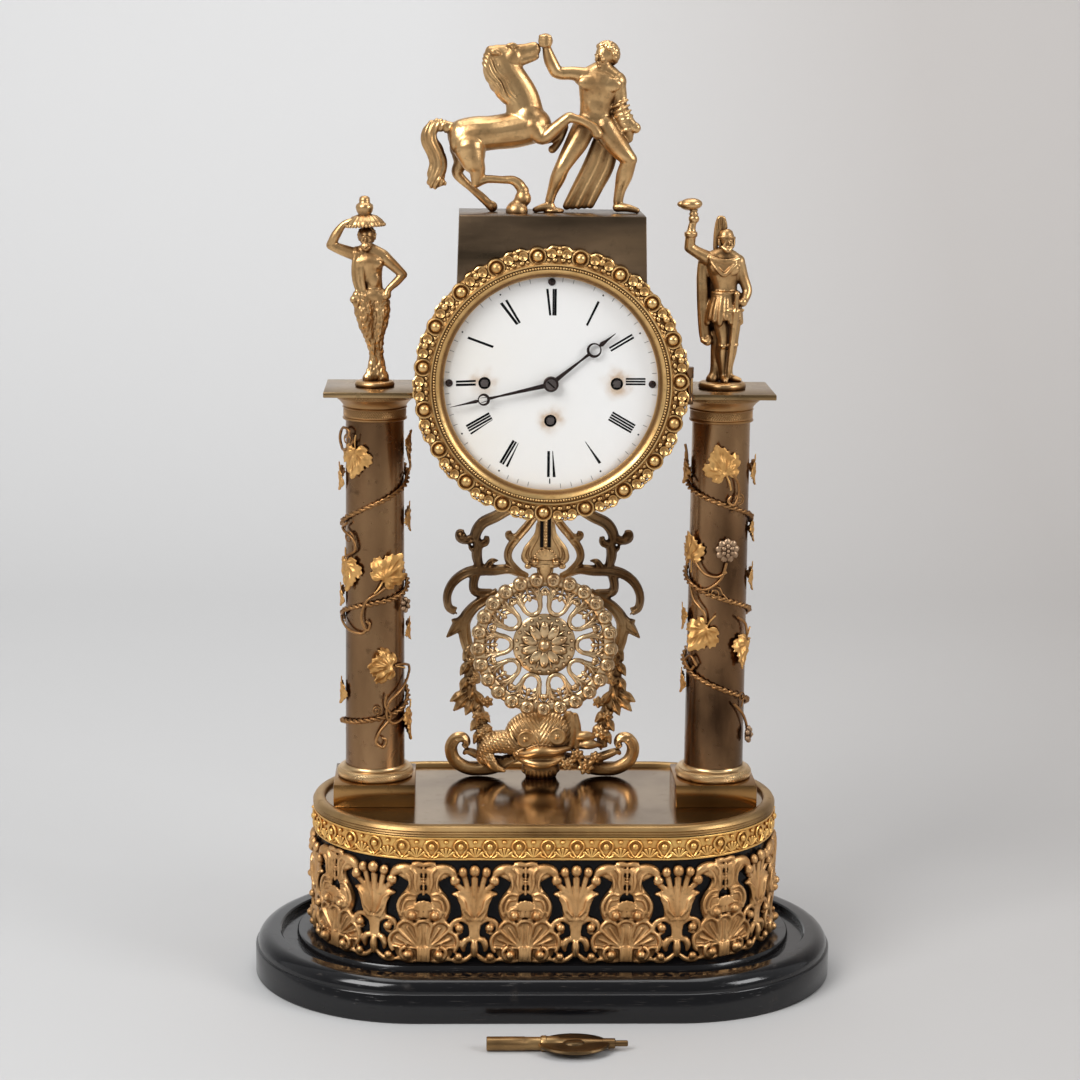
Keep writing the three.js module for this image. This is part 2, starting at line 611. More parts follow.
function addFaun() {
  const drawnHeight = 103;
  const parts = [
    discZ(FAUN_FOOT_RADIUS, 0, FIGURE_FOOT_HEIGHT, 16),
    limb(
      [[-3.5, 0, 3, 3], [-1, 0, 12, 2.6], [0, 0, 20, 3.4], [-1, 0, 29, 5], [-3, 0, 41, 6], [-3, 0, 48, 6.5]],
      6, 0.9,
    ),
    limb(
      [
        [5, -1.5, 3, 3], [2.5, -0.5, 12, 2.6], [1.5, 0, 20, 3.4], [3, 0, 30, 5], [3.5, 0, 41, 6],
        [1, 0, 48, 6],
      ],
      6, 0.9,
    ),
    limb(
      [[-2, 0, 44, 9], [-2, 0, 53, 7.2], [-3, 0, 61, 8], [-3, 0, 68, 9], [-3, 0, 73, 6], [-4, 0, 78, 3.4]],
      7, 0.68,
    ),
    ball(-4.4, -0.5, 81, 5.4, 5.6, 6.4),
    limb(
      [
        [-9, 0, 70, 3], [-17, -1, 74.5, 2.5], [-24, -1.5, 76.5, 2.3], [-20, -1.5, 83, 2.2],
        [-14, -1, 88, 2.2], [-10, -1, 89, 1.8],
      ],
      5,
    ),
    limb(
      [[4, 0, 70, 3.2], [9, 0, 67, 2.8], [15, 0.5, 60, 2.4], [11, -0.5, 54, 2.2], [6.5, -1.5, 50, 2.4]], 5,
    ),
    limb([[-11, 0, 85, 1], [-4, 0, 87, 8.6], [4, 0, 87.5, 1]], 7),
    turnedZ(
      [[0, 84.6], [10, 86.6], [8, 90.5], [3.5, 93], [3.6, 94], [4.8, 97], [3, 100.2], [2.6, 102], [0, 103]],
      12,
    ).translate(-5, 0, 0),
    limb([[-10, -4.5, 71, 2.4], [-8, -5, 60, 2.6], [-6, -5, 52, 3], [-9, -4, 47, 4]], 5),
  ];
  addFigure("faun_figure", parts, FAUN_HEIGHT, drawnHeight, -COLUMN_OFFSET, 0, COLUMN_TOP_Z, rodBore);
}

function addSoldier() {
  const drawnHeight = 102;
  const parts = [
    discZ(SOLDIER_FOOT_RADIUS, 0, FIGURE_FOOT_HEIGHT, 16),
    limb([[-3, -1, 3, 3.2], [-3, 0, 14, 2.8], [-1, -1, 26, 3.2], [-2, 0, 40, 4.2]], 5),
    limb([[4, -3, 3.5, 3], [4, -1, 14, 2.7], [5, -1, 26, 3.2], [5, 0, 40, 4.2]], 5),
    limb([[7, -6.5, 4, 2], [4, -3, 4, 2.4]], 5),
    limb([[0, 0, 35, 9.4], [0, 0, 43, 9], [0, 0, 51, 7.4]], 7, 0.8),
    limb(
      [[0, 0, 50, 7.4], [-0.5, 0, 60, 8], [-1, 0, 68, 8.6], [-1, 0, 72, 6], [-0.5, 0, 76, 3.2]], 7, 0.75,
    ),
    ball(-0.3, -0.5, 79.5, 4.3, 4.8, 5.4),
    slabY([[-5, 74], [-2, 76], [2.6, 82], [1.6, 93], [-4.8, 94]], -1.6, 1.6),
    limb(
      [[-8, 0, 70, 3.2], [-15, -1, 74, 2.7], [-20, -1.5, 77, 2.5], [-19, -2, 84, 2.3], [-17.6, -2, 92, 2.5]],
      5,
    ),
    turnedZ([[0, 91], [2, 92], [1.5, 97], [5.6, 99.5], [4.5, 102], [0, 102.2]], 7).translate(-19.4, -2, 0),
    limb([[8, 0, 66, 3], [11, 0, 58, 2.8], [12, -2, 51, 2.6], [10, -5, 46, 2.6]], 5),
    limb([[5.6, -7, 52, 1.2], [5.2, -7.4, 42, 1.1], [3, -7.4, 22, 1], [2.6, -6.4, 3, 0.8]], 4),
    limb([[1.6, -7.4, 43, 0.9], [9.4, -7.4, 43, 0.9]], 4),
    limb([[-11, 5, 70, 3.4], [-12, 6, 55, 4], [-11.5, 6, 40, 4.2], [-9, 5, 24, 3.6]], 5),
    limb([[-2, 7, 70, 4], [-2, 7.6, 50, 5], [-4, 7, 24, 4.4]], 5, 0.6),
  ];
  addFigure("soldier_figure", parts, SOLDIER_HEIGHT, drawnHeight, COLUMN_OFFSET, 0, COLUMN_TOP_Z, rodBore);
}

function addHorse() {
  const drawnHeight = 89;
  const parts = [
    limb(
      [
        [-55, 0, 42, 5], [-49, 0, 40, 10], [-38, 0, 41.5, 10], [-26, 0, 43.5, 9.4], [-14, 0, 45.5, 10.5],
        [-6, 0, 47, 7],
      ],
      7, 0.82,
    ),
    limb([[-11, 0, 48, 11], [-16, 0, 60, 10], [-22.5, 0, 72, 8.4], [-26.5, 0, 81, 6.4]], 7, 0.62),
    limb(
      [[-31, 0, 83, 3.5], [-25, 0, 82.4, 6.2], [-18, 0, 84, 5], [-11, 0, 85.8, 3.4], [-9, 0, 86, 2.6]], 6,
      0.7,
    ),
    limb([[-35, 0, 84, 2], [-36, 0, 76, 2.8], [-32, 0, 66, 3], [-25.5, 0, 58.5, 2.6]], 5, 0.7),
    limb([[-27, -2.5, 86, 1.6], [-31, -3, 84.4, 0.8]], 4),
    limb(
      [
        [-11, -5, 43, 5], [-4.6, -5.5, 40, 3.6], [2, -6, 46, 2.8], [8.4, -6.4, 51.4, 2.5],
        [14, -6.6, 50.4, 2], [20.4, -6.6, 47, 1.8], [22.4, -6.8, 42.6, 2.4],
      ],
      5,
    ),
    limb(
      [
        [-11, 4.6, 43, 5], [-5, 5.6, 42, 3.4], [-0.6, 6.2, 46, 2.6], [2.6, 6.6, 49, 2.3], [4, 6.8, 45, 1.9],
        [4, 6.8, 41, 2.1],
      ],
      5,
    ),
    limb(
      [
        [-46, -4.6, 37, 8], [-41, -5.6, 26, 5.4], [-39.6, -5.6, 17.6, 3], [-30, -5.4, 17.6, 2.1],
        [-21, -5.2, 17.6, 2.2], [-16.4, -5.2, 12, 2.6], [-18, -5.2, 2.5, 3.6],
      ],
      5,
    ),
    discZ(5.4, 0, 2.6, 10).translate(-18.2, -5.2, 0),
    limb(
      [
        [-49, 4, 36, 7], [-50, 5, 26, 4.4], [-49.6, 5, 19, 2.8], [-42, 5, 12, 2], [-34.6, 4.6, 6.6, 2],
        [-32, 4.4, 1.4, 2.6],
      ],
      5,
    ),
    discZ(3, 0, 1.6, 8).translate(-31.6, 4.4, 0),
    limb(
      [
        [-54, 0, 44, 2.4], [-61, 0, 46.6, 2.6], [-66.6, 0, 42, 2.8], [-65.6, 0, 34, 3.2], [-62, 0, 25, 3.6],
        [-62.4, 0, 16, 3.8], [-61, 0, 12.4, 2.4],
      ],
      5, 0.8,
    ),
  ];
  addFigure("horse_figure", parts, RIDERLESS_HORSE_HEIGHT, drawnHeight, 0, SADDLE_MIDDLE_Y, SADDLE_TOP_Z);
}

function addTamer() {
  const drawnHeight = 94.5;
  const parts = [
    limb(
      [
        [14.4, -1, 43, 5.8], [9, -2, 34, 4.8], [4.4, -3, 26, 3.6], [1.4, -3, 17, 3.2], [-1.4, -3, 7, 2.1],
        [-1.8, -3, 3, 2.2],
      ],
      6,
    ),
    limb([[-0.6, -3, 2, 2.2], [-5, -4, 1.8, 2], [-9.4, -4.6, 1.2, 1.1]], 5),
    limb(
      [
        [27, -1, 43, 5.8], [34.6, -3, 36, 5], [41, -4.6, 29, 3.8], [39, -3.6, 19, 3.4], [36, -3, 8, 2.2],
        [35.8, -3, 3, 2.3],
      ],
      6,
    ),
    limb([[35, -3, 2.2, 2.3], [41, -4, 1.8, 2.1], [46.4, -4.6, 1.2, 1.1]], 5),
    limb(
      [
        [21.6, 0, 42, 8.2], [23.4, 0, 50, 8], [23.6, 0, 57, 8], [25.4, 0, 66, 10], [26.6, 0, 72, 8.6],
        [27.4, 0, 76.4, 3.4],
      ],
      7, 0.66,
    ),
    ball(28.8, -0.6, 83.6, 5.2, 5.6, 6.6),
    ball(31, 1, 84, 4.8, 5.4, 6),
    limb(
      [
        [18, 0, 72, 4], [10, -1, 73.6, 3.2], [2, -1.6, 74.6, 2.8], [-1.4, -1.6, 80, 2.6],
        [-3.6, -1.6, 87, 2], [-4, -1.6, 91, 3.4],
      ],
      6,
    ),
    limb(
      [
        [34.6, 0, 68.6, 4], [37.4, 1.6, 61, 3.2], [36.6, 1.4, 54.4, 3], [41, -0.6, 49.6, 2.8],
        [45.6, -2, 45.6, 2.6],
      ],
      6,
    ),
    limb([[36, 1, 60, 3.4], [38, 1.4, 53, 4.6], [42, 1, 46, 4], [42, 2, 38, 2.6]], 5, 0.9),
    limb(
      [[37, 4, 42, 5], [30, 4.6, 32, 8], [24, 4.6, 20, 8.6], [18, 4.2, 9, 9], [14.6, 4, 4, 8.4]], 6, 0.3,
    ),
    box(9, 23, 2, 6, 0, 3),
    ball(4.4, -4, 1, 4.6, 3, 2.2),
    box(-3, 6, -5, -1.5, 0, 1.4),
  ];
  addFigure(
    "tamer_figure", parts, TAMER_HEIGHT, drawnHeight, 0, SADDLE_MIDDLE_Y + TAMER_SETBACK, SADDLE_TOP_Z,
  );
}

// Case

function addCase() {
  const holder = new THREE.Group();
  holder.position.z = CASE_Z;
  clock.add(holder);
  const flangeBore = CASE_BORE - FLANGE_RING;
  let shell = turnedY([
    [flangeBore, DIAL_BACK_Y],
    [CASE_BORE, DIAL_BACK_Y],
    [CASE_BORE, CASE_FRONT_Y],
    [CASE_RADIUS, CASE_FRONT_Y],
    [CASE_RADIUS, CASE_BACK_Y],
    [CASE_BORE, CASE_BACK_Y],
    [CASE_BORE, FRONT_PLATE_Y],
    [flangeBore, FRONT_PLATE_Y],
    [flangeBore, DIAL_BACK_Y],
  ], 36);
  const slot = box(-14, 14, PENDULUM_Y - 5, PENDULUM_Y + 5, -CASE_RADIUS - 2, -0.8 * CASE_RADIUS);
  const screwHoles = dialScrewPlaces().map(([x, z]) =>
    discY(DIAL_SCREW_RADIUS + BORE_GAP, DIAL_BACK_Y - 1, FRONT_PLATE_Y + 1, 8).translate(x, 0, z));
  const pins = [[HINGE_X, HINGE_Y], [BACK_HINGE_X, BACK_HINGE_Y]].map(([x, y]) =>
    discZ(HINGE_PIN_RADIUS, -KNUCKLE_LENGTH, KNUCKLE_LENGTH, 10).translate(x, y, 0));
  shell = fuse(cut(shell, slot, ...screwHoles), ...hingeEars(HINGE_X, HINGE_Y), ...backEars(), ...pins);
  piece("drum_case", DARK_BRASS, shell, holder);

  const half = SADDLE_WIDTH / 2;
  const top = CASE_RADIUS + SADDLE_RISE;
  const y1 = SADDLE_FRONT_Y + SADDLE_DEPTH;
  const low = Math.sqrt((CASE_RADIUS + SEAT_GAP) ** 2 - half ** 2) - 4;
  const flare = 1.5; // the sheet-metal sides stand a little wider at the foot
  const front = [[-half - flare, low], [half + flare, low], [half, top], [-half, top]];
  const saddle = cut(
    slabY(front, SADDLE_FRONT_Y, y1),
    box(
      -half + SADDLE_WALL, half - SADDLE_WALL, SADDLE_FRONT_Y + SADDLE_WALL, y1 - SADDLE_WALL, low - 1,
      top - SADDLE_WALL,
    ),
    discY(CASE_RADIUS + SEAT_GAP, SADDLE_FRONT_Y - 1, y1 + 1, 36),
  );
  piece("saddle_block", DARK_BRASS, saddle, holder);
}

function dialScrewPlaces() {
  return [[0, DIAL_SCREW_CIRCLE], [-DIAL_SCREW_CIRCLE, 0], [DIAL_SCREW_CIRCLE, 0]];
}

// Two ears on the case that carry the bezel's hinge pin, above and below the bezel's own knuckle.
function hingeEars(x, y) {
  const ears = [];
  for (const side of [-1, 1]) {
    const z0 = side > 0 ? KNUCKLE_LENGTH / 2 + SEAT_GAP : -KNUCKLE_LENGTH * 1.25;
    const z1 = side > 0 ? KNUCKLE_LENGTH * 1.25 : -KNUCKLE_LENGTH / 2 - SEAT_GAP;
    ears.push(discZ(KNUCKLE_RADIUS, z0, z1, 10).translate(x, y, 0));
    ears.push(box(CASE_RADIUS - 1, x - 0.5, y + SEAT_GAP + 0.7, y + KNUCKLE_RADIUS, z0, z1));
  }
  return ears;
}

function backEars() {
  const ears = [];
  for (const side of [-1, 1]) {
    const z0 = side > 0 ? KNUCKLE_LENGTH / 2 + SEAT_GAP : -KNUCKLE_LENGTH * 1.25;
    const z1 = side > 0 ? KNUCKLE_LENGTH * 1.25 : -KNUCKLE_LENGTH / 2 - SEAT_GAP;
    ears.push(discZ(KNUCKLE_RADIUS, z0, z1, 10).translate(BACK_HINGE_X, BACK_HINGE_Y, 0));
    ears.push(box(CASE_RADIUS - 1, BACK_HINGE_X, CASE_BACK_Y - 3, CASE_BACK_Y - SEAT_GAP, z0, z1));
  }
  return ears;
}

function addBackCover() {
  const holder = new THREE.Group();
  holder.position.z = CASE_Z;
  clock.add(holder);
  const y0 = CASE_BACK_Y + SEAT_GAP;
  const y1 = y0 + BACK_COVER_THICKNESS;
  const lug = [
    discZ(
      KNUCKLE_RADIUS, -KNUCKLE_LENGTH / 2, KNUCKLE_LENGTH / 2, 10,
    ).translate(BACK_HINGE_X, BACK_HINGE_Y, 0),
    box(CASE_RADIUS - 3, BACK_HINGE_X - 0.4, y0, y1, -KNUCKLE_LENGTH / 2, KNUCKLE_LENGTH / 2),
  ];
  const knob = turnedY(
    [[0, y1 - 0.5], [2, y1 - 0.5], [2, y1 + 3], [BACK_KNOB_RADIUS, y1 + 4], [0, y1 + 6.5]], 12,
  ).translate(-CASE_RADIUS + 9, 0, 0);
  const keyhole = discZ(HINGE_PIN_RADIUS + BORE_GAP, -20, 20, 10).translate(BACK_HINGE_X, BACK_HINGE_Y, 0);
  piece("back_cover", DARK_BRASS, cut(fuse(discY(CASE_RADIUS, y0, y1, 36), ...lug, knob), keyhole), holder);
}

function addBezel() {
  const holder = new THREE.Group();
  holder.position.z = CASE_Z;
  clock.add(holder);
  const glassSeat = BEZEL_BACK_Y - GLASS_THICKNESS - 1.8;
  const ring = turnedY([
    [GLASS_RADIUS + SEAT_GAP, BEZEL_BACK_Y],
    [BEZEL_RADIUS, BEZEL_BACK_Y],
    [BEZEL_RADIUS + 1, BEZEL_BACK_Y - 0.5 * BEZEL_DEPTH],
    [BEZEL_RADIUS - 3, BEZEL_FRONT_Y],
    [BEZEL_BEAD_RADIUS, BEZEL_FRONT_Y],
    [BEZEL_SIGHT_RADIUS, glassSeat - 1.2],
    [BEZEL_SIGHT_RADIUS, glassSeat],
    [GLASS_RADIUS + SEAT_GAP, glassSeat],
    [GLASS_RADIUS + SEAT_GAP, BEZEL_BACK_Y],
  ], 2 * BEZEL_BOSSES);
  const mid = (BEZEL_RADIUS + BEZEL_BEAD_RADIUS + 2) / 2;
  const ornaments = [];
  for (let i = 0; i < BEZEL_BOSSES; i += 1) {
    const angle = (2 * Math.PI * i) / BEZEL_BOSSES;
    const boss = turnedY([
      [0, BEZEL_FRONT_Y - BOSS_RELIEF],
      [0.7 * BOSS_RADIUS, BEZEL_FRONT_Y - 0.6 * BOSS_RELIEF],
      [BOSS_RADIUS, BEZEL_FRONT_Y + 1],
      [0, BEZEL_FRONT_Y + 1],
    ], 6);
    ornaments.push(boss.translate(mid * Math.sin(angle), 0, mid * Math.cos(angle)));
  }
  const knuckle = [
    discZ(KNUCKLE_RADIUS, -KNUCKLE_LENGTH / 2, KNUCKLE_LENGTH / 2, 10).translate(HINGE_X, HINGE_Y, 0),
    box(
      BEZEL_RADIUS - 3, HINGE_X, HINGE_Y - KNUCKLE_RADIUS, HINGE_Y - 0.4, -KNUCKLE_LENGTH / 2,
      KNUCKLE_LENGTH / 2,
    ),
  ];
  const bore = discZ(HINGE_PIN_RADIUS + BORE_GAP, -20, 20, 10).translate(HINGE_X, HINGE_Y, 0);
  const clear = [-1, 1].map((side) => discZ(KNUCKLE_RADIUS + SEAT_GAP, 0, KNUCKLE_LENGTH, 10)
    .translate(HINGE_X, HINGE_Y, side > 0 ? KNUCKLE_LENGTH / 2 : -1.5 * KNUCKLE_LENGTH));
  piece("bezel", GILT, cut(fuse(ring, ...ornaments, ...knuckle), bore, ...clear), holder);
  const glassY = glassSeat + SEAT_GAP;
  piece("dial_glass", GLASS, discY(GLASS_RADIUS, glassY, glassY + GLASS_THICKNESS, 36), holder);
}

function addDial() {
  const holder = new THREE.Group();
  holder.position.z = CASE_Z;
  clock.add(holder);
  const holes = [
    discY(HOUR_PIPE_RADIUS + BORE_GAP, DIAL_FRONT_Y - 1, DIAL_BACK_Y + 1, 16),
    ...windingPlaces().map(({ x, z }) => discY(
      WINDING_HOLE_RADIUS, DIAL_FRONT_Y - 1, DIAL_BACK_Y + 1, 14,
    ).translate(x, 0, z)),
    ...dialScrewPlaces().map(([x, z]) => discY(
      DIAL_SCREW_RADIUS + BORE_GAP, DIAL_FRONT_Y - 1, DIAL_BACK_Y + 1, 8,
    ).translate(x, 0, z)),
  ];
  piece("enamel_dial", ENAMEL, cut(discY(DIAL_RADIUS, DIAL_FRONT_Y, DIAL_BACK_Y, 36), ...holes), holder);
  ["top", "left", "right"].forEach((label, i) => {
    const [x, z] = dialScrewPlaces()[i];
    const screw = turnedY([
      [0, DIAL_FRONT_Y - 1.4],
      [DIAL_SCREW_HEAD_RADIUS, DIAL_FRONT_Y - 1],
      [DIAL_SCREW_HEAD_RADIUS, DIAL_FRONT_Y - SEAT_GAP],
      [DIAL_SCREW_RADIUS, DIAL_FRONT_Y - SEAT_GAP],
      [DIAL_SCREW_RADIUS, FRONT_PLATE_Y - SEAT_GAP],
      [0, FRONT_PLATE_Y - SEAT_GAP],
    ], 8);
    piece(`dial_screw_${label}`, DARK_STEEL, screw.translate(x, 0, z), holder);
  });
}

function windingPlaces() {
  return [
    { label: "quarter", x: -WINDING_SIDE_X, z: 0 },
    { label: "strike", x: WINDING_SIDE_X, z: 0 },
    { label: "going", x: 0, z: WINDING_LOW_Z },
  ];
}

// Movement

function addMovement() {
  const holder = new THREE.Group();
  holder.position.z = CASE_Z;
  clock.add(holder);
  addFramePlates(holder);
  const barrelY = PILLAR_Y + 3;
  for (const { label, x, z } of windingPlaces()) {
    const bore = WINDING_ARBOR_RADIUS + BORE_GAP;
    piece(
      `${label}_barrel`, BRASS,
      ringY(bore, BARREL_RADIUS, barrelY, barrelY + BARREL_LENGTH, 20).translate(x, 0, z), holder,
    );
    const neck = DIAL_BACK_Y - 1;
    const tip = DIAL_FRONT_Y - 0.4;
    const square = WINDING_SQUARE / 2;
    const arbor = fuse(
      discY(WINDING_ARBOR_RADIUS, neck, BACK_PLATE_END_Y, 12),
      box(-square, square, tip, neck + 1, -square, square),
    );
    piece(`${label}_winding_arbor`, STEEL, arbor.translate(x, 0, z), holder);
  }
  const pinionY = barrelY + BARREL_LENGTH + 0.8;
  const wheelY = pinionY + 2.6;
  piece(
    "centre_arbor", BRASS,
    arborWith([[CENTRE_PINION_RADIUS, barrelY + 2], [CENTRE_WHEEL_RADIUS, wheelY]], DIAL_BACK_Y - 0.6),
    holder,
  );
  piece(
    "third_arbor", BRASS,
    arborWith(
      [[THIRD_WHEEL_RADIUS, barrelY + 6], [THIRD_PINION_RADIUS, wheelY]], FRONT_PLATE_Y,
    ).translate(0, 0, THIRD_Z),
    holder,
  );
  piece(
    "escape_wheel", BRASS,
    arborWith(
      [[ESCAPE_PINION_RADIUS, barrelY + 6], [ESCAPE_WHEEL_RADIUS, barrelY + 14]], FRONT_PLATE_Y,
    ).translate(0, 0, ESCAPE_Z),
    holder,
  );
  addAnchor(holder, barrelY + 14);
  addMotionWork(holder);
  addHands(holder);
  addBells(holder);
}

// A turned arbor through both plates with plain wheels at the given heights.
function arborWith(wheels, front) {
  const profile = [[0, front], [ARBOR_RADIUS, front]];
  for (const [radius, y] of wheels) {
    profile.push(
      [ARBOR_RADIUS, y], [radius, y], [radius, y + WHEEL_THICKNESS], [ARBOR_RADIUS, y + WHEEL_THICKNESS],
    );
  }
  profile.push([ARBOR_RADIUS, BACK_PLATE_END_Y], [0, BACK_PLATE_END_Y]);
  return turnedY(profile, 14);
}

function addFramePlates(holder) {
  const hole = (radius, x, z) => discY(
    radius, FRONT_PLATE_Y - 1, BACK_PLATE_END_Y + 1, 8,
  ).translate(x, 0, z);
  const pivots = [0, THIRD_Z, ESCAPE_Z, ANCHOR_Z].map((z) => hole(ARBOR_RADIUS + BORE_GAP, 0, z));
  const winding = windingPlaces().map(({ x, z }) => hole(WINDING_ARBOR_RADIUS + BORE_GAP, x, z));
  const pillars = [];
  const tips = [];
  for (const [sx, sz] of [[-1, 1], [1, 1], [-1, -1], [1, -1]]) {
    const [x, z] = [sx * PILLAR_CIRCLE * 0.64, sz * PILLAR_CIRCLE * 0.77];
    pillars.push(discY(PILLAR_RADIUS, PILLAR_Y, BACK_PLATE_Y + 0.5, 8).translate(x, 0, z));
    pillars.push(discY(PILLAR_RADIUS / 2, FRONT_PLATE_Y, PILLAR_Y + 0.5, 8).translate(x, 0, z));
    tips.push(discY(PILLAR_RADIUS / 2 + BORE_GAP, FRONT_PLATE_Y - 1, PILLAR_Y + 1, 8).translate(x, 0, z));
  }
  const stud = discY(1.2, DIAL_BACK_Y + 0.6, FRONT_PLATE_Y + 0.5, 8).translate(MINUTE_STUD, 0, MINUTE_STUD);
  const front = cut(
    discY(CASE_BORE - SEAT_GAP, FRONT_PLATE_Y, PILLAR_Y, 36), ...pivots, ...winding, ...tips,
  );
  piece("front_plate", BRASS, fuse(front, stud), holder);
  const cock = box(-5, 5, BACK_PLATE_Y + 0.5, PENDULUM_Y + ROD_THICKNESS, ANCHOR_Z + 4, ANCHOR_Z + 8);
  const seat = BELL_CROWN_Y - BELL_WALL - SEAT_GAP;
  const posts = [-1, 1].map((side) => turnedY([
    [0, BACK_PLATE_Y + 1],
    [2.6, BACK_PLATE_Y + 1],
    [2.6, seat],
    [ARBOR_RADIUS, seat],
    [ARBOR_RADIUS, BELL_CROWN_Y + 0.4],
    [2.8, BELL_CROWN_Y + 0.4],
    [2.8, BELL_CROWN_Y + 1.6],
    [0, BELL_CROWN_Y + 1.6],
  ], 8).translate(side * BELL_OFFSET_X, 0, BELL_OFFSET_Z));
  const back = fuse(
    discY(BACK_PLATE_RADIUS, BACK_PLATE_Y, BACK_PLATE_END_Y, 28), ...pillars, cock, ...posts,
  );
  piece("back_plate", BRASS, cut(back, ...pivots, ...winding), holder);
}

// The anchor on its arbor, with the crutch behind the back plate that gives the pendulum its impulse.
function addAnchor(holder, y) {
  const arms = slabY(
    [
      [-10.4, -9.2], [-8.8, -9.6], [-6.6, -1.6], [6.6, -1.6], [8.8, -9.6], [10.4, -9.2], [7.6, 2.2],
      [-7.6, 2.2],
    ],
    y, y + WHEEL_THICKNESS,
  )
    .translate(0, 0, ANCHOR_Z);
  const crutchY = BACK_PLATE_END_Y + 0.6;
  const crutch = box(-1.5, 1.5, crutchY, crutchY + 1.4, ANCHOR_Z - 32, ANCHOR_Z + 2);
  const fork = box(-3, 3, crutchY, PENDULUM_Y - ROD_THICKNESS / 2 - SEAT_GAP, ANCHOR_Z - 34, ANCHOR_Z - 30);
  const arbor = discY(ARBOR_RADIUS, FRONT_PLATE_Y, crutchY + 1, 12).translate(0, 0, ANCHOR_Z);
  piece("anchor_and_crutch", STEEL, fuse(arms, crutch, fork, arbor), holder);
}

// The wheels under the dial that turn the hour hand once for twelve turns of the minute hand.
function addMotionWork(holder) {
  const bore = ARBOR_RADIUS + BORE_GAP;
  const wheelY = FRONT_PLATE_Y - 3.4;
  const hourY = wheelY - 2.6;
  const minuteHandY = DIAL_FRONT_Y - 4.2;
  piece("cannon_pinion", STEEL, turnedY([
    [bore, minuteHandY],
    [CANNON_PIPE_RADIUS, minuteHandY],
    [CANNON_PIPE_RADIUS, wheelY - 0.4],
    [CANNON_RADIUS, wheelY - 0.4],
    [CANNON_RADIUS, FRONT_PLATE_Y - 1],
    [bore, FRONT_PLATE_Y - 1],
    [bore, minuteHandY],
  ], 14), holder);
  const stud = 1.2 + BORE_GAP;
  piece("minute_wheel", BRASS, turnedY([
    [stud, hourY - 0.6],
    [MINUTE_PINION_RADIUS, hourY - 0.6],
    [MINUTE_PINION_RADIUS, wheelY],
    [MINUTE_WHEEL_RADIUS, wheelY],
    [MINUTE_WHEEL_RADIUS, wheelY + WHEEL_THICKNESS],
    [stud, wheelY + WHEEL_THICKNESS],
    [stud, hourY - 0.6],
  ], 14).translate(MINUTE_STUD, 0, MINUTE_STUD), holder);
  const hourBore = CANNON_PIPE_RADIUS + BORE_GAP;
  piece("hour_wheel", BRASS, turnedY([
    [hourBore, DIAL_FRONT_Y - 2.4],
    [HOUR_PIPE_RADIUS, DIAL_FRONT_Y - 2.4],
    [HOUR_PIPE_RADIUS, hourY],
    [HOUR_WHEEL_RADIUS, hourY],
    [HOUR_WHEEL_RADIUS, hourY + WHEEL_THICKNESS],
    [hourBore, hourY + WHEEL_THICKNESS],
    [hourBore, DIAL_FRONT_Y - 2.4],
  ], 14), holder);
}

// A hand that points up: a tapering blade with a pierced ring near its tip.
function hand(length, boss, bore, ringAt, ringRadius, y) {
  const blade = slabY([[-1.5, 0], [1.5, 0], [0.7, ringAt], [-0.7, ringAt]], y, y + HAND_THICKNESS);
  const tip = slabY(
    [[-1.3, ringAt], [1.3, ringAt], [0.15, length], [-0.15, length]], y, y + HAND_THICKNESS,
  );
  const ring = discY(ringRadius, y, y + HAND_THICKNESS, 14).translate(0, 0, ringAt);
  const hole = discY(0.66 * ringRadius, y - 1, y + HAND_THICKNESS + 1, 14).translate(0, 0, ringAt);
  const centre = discY(boss, y, y + HAND_THICKNESS, 16);
  return cut(fuse(blade, tip, ring, centre), hole, discY(bore, y - 1, y + HAND_THICKNESS + 1, 16));
}

function addHands(holder) {
  const hourY = DIAL_FRONT_Y - 2.4;
  const minuteY = DIAL_FRONT_Y - 4.2;
  const hour = hand(
    HOUR_HAND_LENGTH, 5.4, HOUR_PIPE_RADIUS + SEAT_GAP, 0.72 * HOUR_HAND_LENGTH, 3.9, hourY,
  );
  const minute = hand(
    MINUTE_HAND_LENGTH, 4.6, CANNON_PIPE_RADIUS + SEAT_GAP, 0.66 * MINUTE_HAND_LENGTH, 3, minuteY,
  );
  piece("hour_hand", DARK_STEEL, hour.rotateY(HOUR_ANGLE), holder);
  piece("minute_hand", DARK_STEEL, minute.rotateY(MINUTE_ANGLE), holder);
  const screwTip = DIAL_BACK_Y - 1;
  piece("hand_screw", DARK_STEEL, turnedY([
    [0, minuteY - 1.3],
    [3.2, minuteY - 1.1],
    [3.2, minuteY - SEAT_GAP],
    [ARBOR_RADIUS, minuteY - SEAT_GAP],
    [ARBOR_RADIUS, screwTip],
    [0, screwTip],
  ], 14), holder);
}

